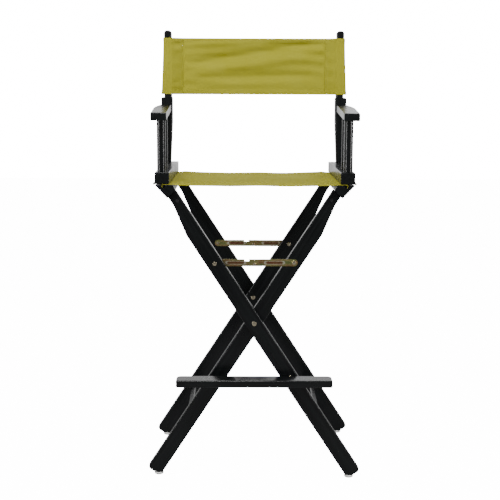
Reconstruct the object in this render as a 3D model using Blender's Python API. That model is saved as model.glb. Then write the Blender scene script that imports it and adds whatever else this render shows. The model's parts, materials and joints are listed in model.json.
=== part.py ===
"""Tall folding director chair: two nested X leg frames, hinged arm assemblies, locking stays and a footrest.

Metres, +Z up, +X to the sitter's left as seen from the front, the front faces -Y. Z = 0 is the floor.
Outer legs run from the upper left to the lower right and carry the left seat rail. Inner legs mirror them.
"""

import math

import bmesh
import bpy

# Driving dimensions
SPREAD = math.atan(0.6520)      # each leg leans this far from vertical
PIVOT_Z = 0.4050                # height of the two leg pivots
LEG_WIDTH = 0.0400
LEG_THICK = 0.0190
LEG_GAP = 0.0030                # between an outer leg and its inner leg, filled by washer and stay
INNER_LEG_Y = 0.1625            # middle of an inner leg, front and rear
FOOT_REACH = 0.4726             # pivot to the square-cut lower end, along the leg
TAPER_START = 0.280             # above the pivot, where the outer edge starts to narrow
TAPER_END = 0.360
TAPER_OFFSET = 0.0058           # outer edge beside the leg's middle line at the top

SEAT_Z = 0.7565                 # top of the seat rails
RAIL_HALF = 0.2050              # half length of the seat rails and arm rails
RAIL_X = 0.2475                 # outer face of the arm rail, over the outer corner of the seat rail
ARM_RAIL_WIDTH = 0.0360
ARM_RAIL_HEIGHT = 0.0285
RAIL_CLEARANCE = 0.0025         # slot between the rails, where the seat canvas passes

ARM_FRONT_Y, ARM_REAR_Y = -0.2080, 0.1596
ARM_TOP_Z = 0.9335              # at the front end
ARM_SLOPE = 0.0385              # rise per metre towards the rear
ARM_THICK = 0.0195
ARM_BULGE = 0.0093              # how far the outer edge swells
SPINDLE_RADIUS = 0.0111
SPINDLE_X = 0.2325
SPINDLE_YS = {"front": -0.1720, "rear": -0.1000}

POST_X = 0.2375                 # middle of the back posts above the shoulder
POST_WIDTH, POST_DEPTH, POST_Y = 0.0206, 0.0300, 0.1750
POST_TOP = 1.1490
CANVAS_LOW, CANVAS_HIGH = 0.9750, 1.1285
SLEEVE_SEAM_X = 0.1980

FOOTREST_HALF, FOOTREST_TOP, FOOTREST_THICK = 0.1960, 0.2720, 0.0187
FOOTREST_FRONT, FOOTREST_BACK = -0.2470, -0.1990
STRETCHER_REACH = 0.3044        # below the pivot, along the leg
STAY_REACH = 0.1830             # stay ends above the pivot, along the legs
STAY_DROP = 0.0035              # the middle rivet sits this far below the line of the end screws
STAY_HEIGHT = 0.0180
STAY_THICK = 0.0010

GLIDE_HEIGHT, GLIDE_RADIUS = 0.0070, 0.0120
CANVAS_THICK = 0.0010
SEAT_DOWEL_RADIUS = 0.0030
GROOVE_INSET = 0.0215           # middle of the canvas groove, inward from the rail's outer corner
GAP = 0.0003                    # between pieces that touch
CENTRE_SHIFT = 0.0210           # puts the middle of the whole depth, footrest included, on Y = 0

# Worked out from the driving dimensions
ALONG = (math.sin(SPREAD), math.cos(SPREAD))      # up an inner leg, in X and Z
ACROSS = (math.cos(SPREAD), -math.sin(SPREAD))    # towards its outer side
OUTER_LEG_Y = INNER_LEG_Y + LEG_THICK + LEG_GAP
OUTER_FACE_Y = OUTER_LEG_Y + LEG_THICK / 2
INNER_FACE_Y = INNER_LEG_Y + LEG_THICK / 2
SLOT_Y = OUTER_LEG_Y - LEG_THICK / 2              # the outer leg's face towards the gap
ARM_RAIL_Z = SEAT_Z + RAIL_CLEARANCE
RAIL_SECTION = ((0.0, 0.0), (0.031, -0.033), (0.051, -0.013), (0.044, 0.0))

for leftover in list(bpy.data.objects):
    bpy.data.objects.remove(leftover)


def material(name, colour, roughness, metallic=0.0):
    made = bpy.data.materials.new(name)
    made.use_nodes = True
    shader = made.node_tree.nodes["Principled BSDF"]
    shader.inputs["Base Color"].default_value = (*colour, 1.0)
    shader.inputs["Roughness"].default_value = roughness
    shader.inputs["Metallic"].default_value = metallic
    return made


BLACK_WOOD = material("black_lacquered_wood", (0.012, 0.013, 0.014), 0.28)
CANVAS = material("olive_canvas", (0.38, 0.34, 0.07), 0.85)
ZINC = material("yellow_zinc", (0.62, 0.52, 0.26), 0.32, 1.0)
STEEL = material("nickel_steel", (0.70, 0.68, 0.62), 0.25, 1.0)
WHITE = material("white_plastic", (0.82, 0.82, 0.80), 0.45)
NYLON = material("nylon", (0.12, 0.12, 0.12), 0.5)

chair = bpy.data.objects.new("chair", None)
bpy.context.scene.collection.objects.link(chair)
chair.location.y = CENTRE_SHIFT


def place(name, mesh, finish=None):
    """Links a mesh to the scene under the chair's empty."""
    made = bpy.data.objects.new(name, mesh)
    bpy.context.scene.collection.objects.link(made)
    made.parent = chair
    if finish:
        made.data.materials.append(finish)
    return made


def as_helper(cutter):
    cutter.hide_render = True
    cutter.display_type = "WIRE"
    return cutter


def offset_inwards(outline, distance):
    """The closed outline moved inwards by a distance, corner by corner."""
    count = len(outline)
    area = sum(outline[i - 1][0] * outline[i][1] - outline[i][0] * outline[i - 1][1] for i in range(count))
    turn = math.copysign(1.0, area)

    def inward(start, end):
        run = math.hypot(end[0] - start[0], end[1] - start[1])
        return (-turn * (end[1] - start[1]) / run, turn * (end[0] - start[0]) / run)

    moved = []
    for i, (a, b) in enumerate(outline):
        one = inward(outline[i - 1], outline[i])
        two = inward(outline[i], outline[(i + 1) % count])
        scale = distance / (1.0 + one[0] * two[0] + one[1] * two[1])
        moved.append((a + scale * (one[0] + two[0]), b + scale * (one[1] + two[1])))
    return moved


def extruded(name, outline, low, high, finish=None, axis="Y", ease=0.0):
    """A closed outline, in X and Z along Y or in X and Y along Z, made solid between low and high.

    With ease, the edges round both end faces are rounded to that radius in two steps.
    """
    shape = bmesh.new()

    def ring(inset, depth):
        points = offset_inwards(outline, inset) if inset else outline
        return [shape.verts.new((a, depth, b) if axis == "Y" else (a, b, depth)) for a, b in points]

    if ease:
        part = ease * (1.0 - math.sqrt(0.5))
        insets = [(ease, 0.0), (part, part), (0.0, ease)]
        rings = [ring(inset, low + depth) for inset, depth in insets]
        rings += [ring(inset, high - depth) for inset, depth in reversed(insets)]
    else:
        rings = [ring(0.0, low), ring(0.0, high)]
    shape.faces.new(rings[0])
    shape.faces.new(rings[-1])
    for lower, upper in zip(rings, rings[1:]):
        for i in range(len(lower)):
            shape.faces.new((lower[i - 1], lower[i], upper[i], upper[i - 1]))
    bmesh.ops.recalc_face_normals(shape, faces=shape.faces)
    mesh = bpy.data.meshes.new(name)
    shape.to_mesh(mesh)
    shape.free()
    return place(name, mesh, finish)


def turned(name, profile, x, y, z, finish=None, axis="Y", steps=16):
    """A profile of (radius, distance) spun round an axis along Y or Z through a point. Its ends lie on the axis."""
    shape = bmesh.new()
    if axis == "Y":
        points = [(x + r, y + d, z) for r, d in profile]
        direction = (0, 1, 0)
    else:
        points = [(x + r, y, z + d) for r, d in profile]
        direction = (0, 0, 1)
    line = [shape.verts.new(p) for p in points]
    edges = [shape.edges.new(pair) for pair in zip(line, line[1:])]
    bmesh.ops.spin(
        shape, geom=line + edges, cent=(x, y, z), axis=direction,
        angle=math.tau, steps=steps, use_merge=True, use_duplicate=False,
    )
    bmesh.ops.remove_doubles(shape, verts=shape.verts, dist=1e-6)
    bmesh.ops.recalc_face_normals(shape, faces=shape.faces)
    mesh = bpy.data.meshes.new(name)
    shape.to_mesh(mesh)
    shape.free()
    mesh.shade_smooth()
    mesh.set_sharp_from_angle(angle=math.radians(35))
    return place(name, mesh, finish)


def pin(name, radius, x, z, low, high, finish=None, steps=16):
    """A plain cylinder along Y."""
    profile = ((0, 0), (radius, 0), (radius, high - low), (0, high - low))
    return turned(name, profile, x, low, z, finish, steps=steps)


def modified(target, kind, **settings):
    modifier = target.modifiers.new(kind.title(), kind)
    for key, value in settings.items():
        setattr(modifier, key, value)
    return target


def cut(target, cutter):
    return modified(target, "BOOLEAN", operation="DIFFERENCE", object=as_helper(cutter))


def joined(target, other):
    return modified(target, "BOOLEAN", operation="UNION", object=as_helper(other))


def drilled(target, radius, x, z, low, high, steps=16):
    """A hole along Y through, or into, the target."""
    return cut(target, pin(target.name + "_drill", radius, x, z, low, high, steps=steps))


def arc(centre_a, centre_b, radius, start, end, steps):
    """Points on a circle from one angle to another, in degrees."""
    angles = [math.radians(start + (end - start) * i / steps) for i in range(steps + 1)]
    return [(centre_a + radius * math.cos(t), centre_b + radius * math.sin(t)) for t in angles]


def rounded(corners, radii, steps=4):
    """An outline whose corners are turned into arcs; a radius of 0 keeps the corner."""
    outline = []
    for i, (corner, radius) in enumerate(zip(corners, radii)):
        if not radius:
            outline.append(corner)
            continue
        before, after = corners[i - 1], corners[(i + 1) % len(corners)]
        to_before = math.atan2(before[1] - corner[1], before[0] - corner[0])
        to_after = math.atan2(after[1] - corner[1], after[0] - corner[0])
        turn = (to_after - to_before + math.pi) % math.tau - math.pi
        reach = radius / math.tan(abs(turn) / 2)
        middle = to_before + turn / 2
        away = radius / math.sin(abs(turn) / 2)
        centre = (corner[0] + away * math.cos(middle), corner[1] + away * math.sin(middle))
        first = (corner[0] + reach * math.cos(to_before), corner[1] + reach * math.sin(to_before))
        start = math.atan2(first[1] - centre[1], first[0] - centre[0])
        sweep = math.copysign(math.pi - abs(turn), -turn)
        outline += arc(*centre, radius, math.degrees(start), math.degrees(start + sweep), steps)
    return outline


def flipped(outline, side):
    """The outline as it is for the right side (+1), or mirrored in X for the left (-1)."""
    return [(side * x, z) for x, z in outline]


def on_leg(reach, offset=0.0):
    """X and Z of a point on an inner leg: reach up from the pivot, offset towards its outer side."""
    return (
        reach * ALONG[0] + offset * ACROSS[0],
        PIVOT_Z + reach * ALONG[1] + offset * ACROSS[1],
    )


def rail_section(side):
    """Seat rail section with the groove for the canvas and its dowel."""
    corners = [(RAIL_X - inward, SEAT_Z + up) for inward, up in RAIL_SECTION]
    corners = rounded(corners, [0.001] * 4, 2)
    middle = RAIL_X - GROOVE_INSET
    radius = SEAT_DOWEL_RADIUS + CANVAS_THICK + 2 * GAP
    bottom = arc(middle, seat_dowel_z(), radius, 180, 360, 6)
    groove = [(middle - radius, SEAT_Z), *bottom, (middle + radius, SEAT_Z)]
    return flipped(corners + groove, side)


def seat_dowel_z():
    """The hem runs over its dowel level with the canvas between the rails."""
    return canvas_z() - SEAT_DOWEL_RADIUS - GAP - CANVAS_THICK / 2


def canvas_z():
    return SEAT_Z + GAP + CANVAS_THICK / 2 + 0.0002


def leg_outline():
    """Inner leg: square foot with one rounded corner and one level facet, tapered head cut to the rail."""
    half = LEG_WIDTH / 2
    facet_z = GLIDE_HEIGHT + GAP
    toe = on_leg(-FOOT_REACH, half)
    rise = facet_z - toe[1]
    facet_outer = (toe[0] - rise / math.tan(SPREAD), facet_z)
    facet_inner = (toe[0] + rise * math.tan(SPREAD), facet_z)
    cut_line = RAIL_X + SEAT_Z + sum(RAIL_SECTION[1]) - 2 * RAIL_SECTION[1][0] - GAP * math.sqrt(2)

    def to_rail(offset):
        base = on_leg(0.0, offset)
        reach = (cut_line - sum(base)) / sum(ALONG)
        return on_leg(reach, offset)

    corners = [
        on_leg(-FOOT_REACH, -half),
        facet_outer,
        facet_inner,
        on_leg(TAPER_START, half),
        on_leg(TAPER_END, TAPER_OFFSET),
        to_rail(TAPER_OFFSET),
        to_rail(-half),
    ]
    return rounded(corners, (0.010, 0.003, 0.003, 0, 0, 0, 0))


def glide_centre_x():
    """Middle of the level facet of an inner leg's foot; it is negative, on the left."""
    toe = on_leg(-FOOT_REACH, LEG_WIDTH / 2)
    rise = GLIDE_HEIGHT + GAP - toe[1]
    return toe[0] + rise * (math.tan(SPREAD) - 1 / math.tan(SPREAD)) / 2


def legs():
    """side +1 is an inner leg, with its head on the right, and -1 an outer leg, its mirror image."""
    stay_x, stay_z = on_leg(STAY_REACH)
    nut_x, nut_z = on_leg(0.366, -0.009)
    for side, kind, middle in ((1, "inner", INNER_LEG_Y), (-1, "outer", OUTER_LEG_Y)):
        for end, place_y in (("front", -middle), ("rear", middle)):
            low, high = place_y - LEG_THICK / 2, place_y + LEG_THICK / 2
            facing = -1 if end == "front" else 1
            leg = extruded(f"leg_{kind}_{end}", flipped(leg_outline(), side), low, high, BLACK_WOOD, ease=0.0022)
            drilled(leg, PIVOT_RADIUS + GAP, 0.0, PIVOT_Z, low - 0.01, high + 0.01)
            if (kind, end) in (("outer", "front"), ("inner", "rear")):
                drilled(leg, SCREW_RADIUS + GAP, side * stay_x, stay_z, low - 0.01, high + 0.01)
            outer_face = place_y + facing * LEG_THICK / 2
            pocket = sorted((outer_face + facing * 0.01, outer_face - facing * 0.012))
            drilled(leg, NUT_RADIUS + GAP, side * nut_x, nut_z, *pocket)
            shank = turned(
                f"leg_{kind}_{end}_nail_hole",
                ((0, -0.01), (NAIL_RADIUS + GAP, -0.01), (NAIL_RADIUS + GAP, 0.0165), (0, 0.0165)),
                side * glide_centre_x(), place_y, GLIDE_HEIGHT, axis="Z", steps=10,
            )
            cut(leg, shank)
            glide(f"glide_{kind}_{end}", side * glide_centre_x(), place_y)
            nut = sorted((outer_face - facing * 0.0010, outer_face - facing * 0.0117))
            pin(f"barrel_nut_{kind}_{end}", NUT_RADIUS, side * nut_x, nut_z, *nut, NYLON)
            if (kind, end) == ("outer", "front"):
                drilled(leg, FOOTREST_BOLT_RADIUS + GAP, *footrest_pivot(), low - 0.01, high + 0.01)
            if (kind, end) == ("inner", "front"):
                drilled(leg, PEG_RADIUS + GAP, *footrest_peg_place(), low - 0.01, low + 0.0125)


PIVOT_RADIUS, SCREW_RADIUS, NUT_RADIUS, NAIL_RADIUS = 0.0032, 0.0022, 0.0048, 0.0013
FOOTREST_BOLT_RADIUS, PEG_RADIUS = 0.0040, 0.0048


def glide(name, x, y):
    """Nail-on glide: a disc with a rounded rim and a flat sole, and its nail in the leg."""
    r, h = GLIDE_RADIUS, GLIDE_HEIGHT
    profile = ((0, 0), (r * 0.72, 0), (r * 0.93, h * 0.2), (r, h * 0.5), (r * 0.96, h * 0.85),
               (r * 0.86, h), (NAIL_RADIUS, h), (NAIL_RADIUS, 0.023), (0, 0.0232))
    return turned(name, profile, x, y, 0.0, WHITE, axis="Z", steps=20)


def seat_rails():
    for side, name in ((1, "right"), (-1, "left")):
        extruded(f"seat_rail_{name}", rail_section(side), -RAIL_HALF, RAIL_HALF, BLACK_WOOD)
        pin(
            f"seat_dowel_{name}", SEAT_DOWEL_RADIUS, side * (RAIL_X - GROOVE_INSET), seat_dowel_z(),
            -RAIL_HALF + 0.003, RAIL_HALF - 0.003, BLACK_WOOD, steps=12,
        )


def stretchers():
    """Flat bars between the front and rear leg of each frame, near the feet and towards the upper edge."""
    corners = [(-0.0150, -0.0030), (0.0150, -0.0030), (0.0150, 0.0150), (-0.0150, 0.0150)]
    section = rounded(corners, [0.003] * 4)
    outline = [on_leg(-STRETCHER_REACH + along, across) for along, across in section]
    for side, kind, middle in ((1, "inner", INNER_LEG_Y), (-1, "outer", OUTER_LEG_Y)):
        reach = middle - LEG_THICK / 2 - GAP
        extruded(f"stretcher_{kind}", flipped(outline, side), -reach, reach, BLACK_WOOD)


def domed_head(radius, height):
    """Profile of a domed head that stands on distance 0 and rises to -height."""
    return [(0, -height), (radius * 0.55, -height * 0.88), (radius * 0.88, -height * 0.55), (radius, 0)]


def pivot_rivets():
    """Each X turns on a rivet with a domed head to the front and an upset head at the back."""
    inner = INNER_LEG_Y - LEG_THICK / 2
    for end, front, back in (("front", -OUTER_FACE_Y, -inner), ("rear", inner, OUTER_FACE_Y)):
        length = back - front
        profile = [(r, d - GAP) for r, d in domed_head(0.0062, 0.0026)]
        profile += [(PIVOT_RADIUS, -GAP), (PIVOT_RADIUS, length + GAP), (0.0055, length + GAP),
                    (0.0045, length + 0.0020), (0, length + 0.0024)]
        turned(f"pivot_rivet_{end}", profile, 0.0, front, PIVOT_Z, STEEL)
        side = -1 if end == "front" else 1
        washer = extruded(
            f"pivot_washer_{end}", arc(0.0, PIVOT_Z, 0.0095, 0, 345, 23),
            *sorted((side * (SLOT_Y - GAP), side * (SLOT_Y - LEG_GAP + GAP))), NYLON,
        )
        drilled(washer, PIVOT_RADIUS + GAP, 0.0, PIVOT_Z, *sorted((side * 0.12, side * 0.20)))


def stay_layers(end):
    """Y of the two link layers in the gap between the legs: outer link first, each (low, high)."""
    side = -1 if end == "front" else 1
    first = SLOT_Y - GAP
    second = first - STAY_THICK - 0.0004
    return [sorted((side * y, side * (y - STAY_THICK))) for y in (first, second)]


def stays():
    """Two-link locking stays. The outer link hangs on the outer leg, the inner one ends on the inner leg."""
    end_x, end_z = on_leg(STAY_REACH)
    half, middle_z = STAY_HEIGHT / 2, end_z - STAY_DROP
    notch = [(-0.0136, end_z + half), (-0.0136, end_z + half - 0.005),
             (-0.0254, end_z + half - 0.005), (-0.0254, end_z + half)]
    outer = [*arc(-end_x, end_z, half, 90, 270, 8), (0.0165, end_z - half), (0.0165, end_z + half), *notch]
    inner = [*arc(end_x, end_z, half, -90, 90, 8), (0.0170, end_z + half), (0.0110, end_z + half - 0.0055),
             (-0.0120, end_z + half - 0.0055), (-0.0120, end_z - half + 0.0010), (0.0110, end_z - half)]
    for end in ("front", "rear"):
        outer_y, inner_y = stay_layers(end)
        side = -1 if end == "front" else 1
        reach = sorted((side * 0.15, side * 0.20))
        for kind, outline, layer, end_side in (
            ("outer", outer, outer_y, -1), ("inner", inner, inner_y, 1),
        ):
            link = extruded(f"stay_link_{kind}_{end}", outline, *layer, ZINC)
            drilled(link, SCREW_RADIUS + GAP, end_side * end_x, end_z, *reach)
            drilled(link, SCREW_RADIUS + GAP, 0.0, middle_z, *reach)
        stay_fasteners(end, end_x, end_z, middle_z)


def stay_fasteners(end, end_x, end_z, middle_z):
    """Rivet through both links, and the end screws. Each stay turns on one leg; its other screw stops short."""
    head, low_head = domed_head(0.0056, 0.0022), domed_head(0.0046, 0.0016)
    outer_y, inner_y = stay_layers(end)
    if end == "front":
        front, back = outer_y[0], inner_y[1]
        profile = [(r, d - GAP) for r, d in low_head] + [(SCREW_RADIUS, -GAP)]
        profile += [(SCREW_RADIUS, back - front), (0, back - front)]
        turned("stay_rivet_front", profile, 0.0, front, middle_z, STEEL)
        reach = outer_y[1] + OUTER_FACE_Y
        profile = [(r, d - GAP) for r, d in head]
        profile += [(SCREW_RADIUS, -GAP), (SCREW_RADIUS, reach), (0, reach)]
        turned("stay_screw_outer_front", profile, -end_x, -OUTER_FACE_Y, end_z, STEEL)
        profile = [(r, d - GAP) for r, d in head]
        profile += [(SCREW_RADIUS, -GAP), (SCREW_RADIUS, STAY_THICK), (0, STAY_THICK)]
        turned("stay_screw_inner_front", profile, end_x, inner_y[0], end_z, STEEL)
    else:
        front, back = inner_y[0], outer_y[1]
        profile = [(r, d - GAP) for r, d in low_head] + [(SCREW_RADIUS, -GAP)]
        profile += [(SCREW_RADIUS, back - front), (0, back - front)]
        turned("stay_rivet_rear", profile, 0.0, front, middle_z, STEEL)
        profile = [(r, d - GAP) for r, d in low_head] + [(SCREW_RADIUS, -GAP)]
        profile += [(SCREW_RADIUS, STAY_THICK), (0, STAY_THICK)]
        turned("stay_screw_outer_rear", profile, -end_x, outer_y[0], end_z, STEEL)
        front, back = INNER_LEG_Y - LEG_THICK / 2, inner_y[1]
        profile = [(r, d - GAP) for r, d in head]
        profile += [(SCREW_RADIUS, -GAP), (SCREW_RADIUS, back - front), (0, back - front)]
        turned("stay_screw_inner_rear", profile, end_x, front, end_z, STEEL)


def footrest_pivot():
    """X and Z where the footrest turns on the front outer leg."""
    height = FOOTREST_TOP - FOOTREST_THICK / 2
    return (PIVOT_Z - height) * math.tan(SPREAD), height


def footrest_peg_place():
    """X and Z of the peg on the front inner leg, under the board."""
    height = FOOTREST_TOP - FOOTREST_THICK - GAP - PEG_RADIUS
    return -(PIVOT_Z - height) * math.tan(SPREAD), height


def footrest():
    x, z = footrest_pivot()
    corners = [(-FOOTREST_HALF, FOOTREST_FRONT), (FOOTREST_HALF, FOOTREST_FRONT),
               (FOOTREST_HALF, FOOTREST_BACK), (-FOOTREST_HALF, FOOTREST_BACK)]
    board = extruded(
        "footrest_board", rounded(corners, (0.004, 0.004, 0.012, 0.012)),
        FOOTREST_TOP - FOOTREST_THICK, FOOTREST_TOP, BLACK_WOOD, axis="Z", ease=0.003,
    )
    inside = FOOTREST_BACK - 0.024
    drilled(board, FOOTREST_BOLT_RADIUS + GAP, x, z, inside, FOOTREST_BACK + 0.01)
    start, shoulder, face = inside + GAP, FOOTREST_BACK + 0.0008, -OUTER_FACE_Y - GAP
    back = -OUTER_FACE_Y + LEG_THICK
    bolt = [(0, 0), (FOOTREST_BOLT_RADIUS, 0), (FOOTREST_BOLT_RADIUS, shoulder - start),
            (0.0085, shoulder - start), (0.0085, face - start), (FOOTREST_BOLT_RADIUS, face - start),
            (FOOTREST_BOLT_RADIUS, back + 0.0070 - start), (0, back + 0.0075 - start)]
    turned("footrest_bolt", bolt, x, start, z, STEEL)
    nut = extruded("footrest_nut", arc(x, z, 0.0078, 0, 300, 5), back + GAP, back + 0.0055, STEEL)
    drilled(nut, FOOTREST_BOLT_RADIUS + GAP, x, z, back - 0.01, back + 0.02)
    peg_x, peg_z = footrest_peg_place()
    pin("footrest_peg", PEG_RADIUS, peg_x, peg_z, -0.2160, -INNER_FACE_Y + 0.0120, BLACK_WOOD)


def arm_top(y):
    """Height of the arm board's top."""
    return ARM_TOP_Z + ARM_SLOPE * (y - ARM_FRONT_Y)


def sloped(target, above):
    """Raises every vertex higher than `above` by the arm's slope at its Y."""
    for vertex in target.data.vertices:
        if vertex.co.z > above:
            vertex.co.z += ARM_SLOPE * (vertex.co.y - ARM_FRONT_Y)
    return target


def arm_board(side, name):
    """Contoured armrest: straight inner edge, swelling outer edge, rising slightly to the rear."""
    front, rear = ARM_FRONT_Y, ARM_REAR_Y
    steps = 12
    outer = []
    for i in range(steps + 1):
        share = i / steps
        swell = ARM_BULGE * math.sin(math.pi * share ** 1.5)
        outer.append((0.2562 + 0.0006 * share + swell, front + (rear - front) * share))
    outline = [(0.2172, front), *outer, (0.2288, rear)]
    board = extruded(
        f"arm_board_{name}", flipped(outline, side), ARM_TOP_Z - ARM_THICK, ARM_TOP_Z, BLACK_WOOD,
        axis="Z", ease=0.0022,
    )
    sloped(board, 0.0)


def back_post(side, name):
    """Rear upright: narrow foot, shoulder above the arm, then the post that holds the back canvas."""
    foot, shoulder = ARM_RAIL_Z + ARM_RAIL_HEIGHT + GAP, 0.9660
    low, high = POST_X - POST_WIDTH / 2, POST_X + POST_WIDTH / 2
    corners = [(0.2305, foot), (0.2525, foot), (0.2567, 0.9000), (0.2567, shoulder), (high, shoulder + 0.002),
               (high, POST_TOP), (low, POST_TOP), (low, shoulder + 0.002), (0.2252, shoulder), (0.2252, 0.9000)]
    radii = (0, 0, 0, 0.004, 0, 0.008, 0.008, 0, 0.004, 0)
    outline = flipped(rounded(corners, radii), side)
    extruded(
        f"back_post_{name}", outline, POST_Y - POST_DEPTH / 2, POST_Y + POST_DEPTH / 2, BLACK_WOOD, ease=0.0035,
    )


def spindles(side, name):
    """Round posts between the arm rail and the sloping underside of the arm."""
    low, high = ARM_RAIL_Z + ARM_RAIL_HEIGHT + GAP, ARM_TOP_Z - ARM_THICK - GAP
    for end, y in SPINDLE_YS.items():
        profile = ((0, 0), (SPINDLE_RADIUS, 0), (SPINDLE_RADIUS, high - low), (0, high - low))
        spindle = turned(
            f"arm_spindle_{end}_{name}", profile, side * SPINDLE_X, y, low, BLACK_WOOD, axis="Z", steps=20,
        )
        sloped(spindle, high - 0.001)


def hinges(side, name):
    """Butt hinges along the outer corner: lower leaf on the seat rail, upper leaf on the arm rail."""
    axis_x, axis_z = hinge_axis()
    eye, bore, leaf, length = 0.0026, 0.0012, 0.0014, 0.040
    face = RAIL_X + GAP
    upper = [(face, axis_z + 0.0005), (face + leaf, axis_z + 0.0005), (face + leaf, axis_z + 0.019),
             (face, axis_z + 0.019)]
    down = (RAIL_SECTION[1][0] / 0.04528, RAIL_SECTION[1][1] / 0.04528)
    out = (-down[1], down[0])
    start = (RAIL_X + GAP * out[0] - 0.0002 * down[0], SEAT_Z + GAP * out[1] + 0.0002 * down[1])
    lower = [(start[0] - a * down[0] + b * out[0], start[1] + a * down[1] + b * out[1])
             for a, b in ((0.0, 0.0), (0.0, leaf), (0.021, leaf), (0.021, 0.0))]
    for end, y in (("front", -0.165), ("rear", 0.165)):
        low, high = y - length / 2, y + length / 2
        knuckle = (y - 0.0070, y + 0.0070)
        top = extruded(f"hinge_upper_{end}_{name}", flipped(upper, side), low, high, ZINC)
        eye_outline = flipped(arc(axis_x, axis_z, eye, 0, 337.5, 15), side)
        joined(top, extruded(f"{top.name}_eye", eye_outline, *knuckle))
        clear = [(RAIL_X - 0.01, axis_z - 0.01), (RAIL_X + 0.02, axis_z - 0.01),
                 (RAIL_X + 0.02, axis_z + 0.0031), (RAIL_X - 0.01, axis_z + 0.0031)]
        for a, b in ((low - 0.01, knuckle[0]), (knuckle[1], high + 0.01)):
            cut(top, extruded(f"{top.name}_clear_{a:.3f}", flipped(clear, side), a, b))
        drilled(top, bore + GAP, side * axis_x, axis_z, low, high, steps=10)
        base = extruded(f"hinge_lower_{end}_{name}", flipped(lower, side), low, high, ZINC)
        for a, b in ((low, knuckle[0] - GAP), (knuckle[1] + GAP, high)):
            joined(base, extruded(f"{base.name}_eye_{a:.3f}", eye_outline, a, b))
        around = [(RAIL_X - 0.01, axis_z - 0.0031), (RAIL_X + 0.02, axis_z - 0.0031),
                  (RAIL_X + 0.02, axis_z + 0.01), (RAIL_X - 0.01, axis_z + 0.01)]
        relief = extruded(f"{base.name}_clear", flipped(around, side), knuckle[0] - GAP, knuckle[1] + GAP)
        cut(base, relief)
        drilled(base, bore + GAP, side * axis_x, axis_z, low - 0.01, high + 0.01, steps=10)
        pin(f"hinge_pin_{end}_{name}", bore, side * axis_x, axis_z, low + GAP, high - GAP, STEEL, steps=10)


def hinge_axis():
    """X and Z of the right arm's hinge pin, just outside the corner where the two rails meet."""
    return RAIL_X + 0.0033, SEAT_Z + RAIL_CLEARANCE / 2


def arms():
    for side, name in ((1, "right"), (-1, "left")):
        corners = [(RAIL_X - ARM_RAIL_WIDTH, ARM_RAIL_Z), (RAIL_X, ARM_RAIL_Z),
                   (RAIL_X, ARM_RAIL_Z + ARM_RAIL_HEIGHT), (RAIL_X - ARM_RAIL_WIDTH, ARM_RAIL_Z + ARM_RAIL_HEIGHT)]
        outline = flipped(rounded(corners, [0.002] * 4), side)
        extruded(f"arm_rail_{name}", outline, -RAIL_HALF, RAIL_HALF, BLACK_WOOD, ease=0.0015)
        arm_board(side, name)
        spindles(side, name)
        back_post(side, name)
        hinges(side, name)


def ribbon(path, thickness):
    """A closed outline round an open path, offset by half the thickness to each side."""
    left, right = [], []
    for i, (a, b) in enumerate(path):
        before, after = path[max(i - 1, 0)], path[min(i + 1, len(path) - 1)]
        run = math.hypot(after[0] - before[0], after[1] - before[1])
        across = ((after[1] - before[1]) / run, -(after[0] - before[0]) / run)
        left.append((a + across[0] * thickness / 2, b + across[1] * thickness / 2))
        right.append((a - across[0] * thickness / 2, b - across[1] * thickness / 2))
    return left + right[::-1]


def seat_canvas():
    """One cloth from groove to groove, each end turned down round its dowel."""
    middle = RAIL_X - GROOVE_INSET
    radius = SEAT_DOWEL_RADIUS + GAP + CANVAS_THICK / 2
    hook = arc(middle, seat_dowel_z(), radius, -70, 90, 10)
    flat = [(middle - 0.004, canvas_z()), (0.1, canvas_z()), (0.0, canvas_z())]
    half = hook + flat
    path = half + [(-x, z) for x, z in half[-2::-1]]
    extruded("seat_canvas", ribbon(path, CANVAS_THICK), -RAIL_HALF + 0.001, RAIL_HALF - 0.001, CANVAS)


def sleeve(margin, seam_x, seam_half):
    """Right sleeve in X and Y: round the post, then closing to the seam."""
    low, high = POST_X - POST_WIDTH / 2, POST_X + POST_WIDTH / 2
    near, far = POST_Y - POST_DEPTH / 2 - margin, POST_Y + POST_DEPTH / 2 + margin
    corners = [(seam_x, POST_Y - seam_half), (low, near), (high + margin, near), (high + margin, far),
               (low, far), (seam_x, POST_Y + seam_half)]
    return rounded(corners, (0, 0, 0.003 + margin, 0.003 + margin, 0, 0))


def back_canvas():
    """Back rest: a panel with a sleeve at each end that slips over the posts."""
    panel_half = 0.0008
    outer = sleeve(GAP + CANVAS_THICK, SLEEVE_SEAM_X, panel_half)
    outline = outer + [(-x, y) for x, y in outer[::-1]]
    cloth = extruded("back_canvas", outline, CANVAS_LOW, CANVAS_HIGH, CANVAS, axis="Z")
    hole = sleeve(GAP, SLEEVE_SEAM_X + 0.003, 0.0004)
    for side in (1, -1):
        inner = extruded(f"sleeve_hole_{side}", flipped(hole, side), CANVAS_LOW - 0.01, CANVAS_HIGH + 0.01, axis="Z")
        cut(cloth, inner)


legs()
seat_rails()
stretchers()
pivot_rivets()
stays()
footrest()
arms()
seat_canvas()
back_canvas()
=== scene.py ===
"""Looks of a tall folding director chair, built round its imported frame.

Metres, +Z up, the front faces -Y. The wood and the fittings are finished copies of the frame's own nodes.
The canvases, stitches, stay embossings and hinge screws are made here.
"""

import json
import math

import bmesh
import bpy
import numpy as np
from mathutils import Matrix, Vector


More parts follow.
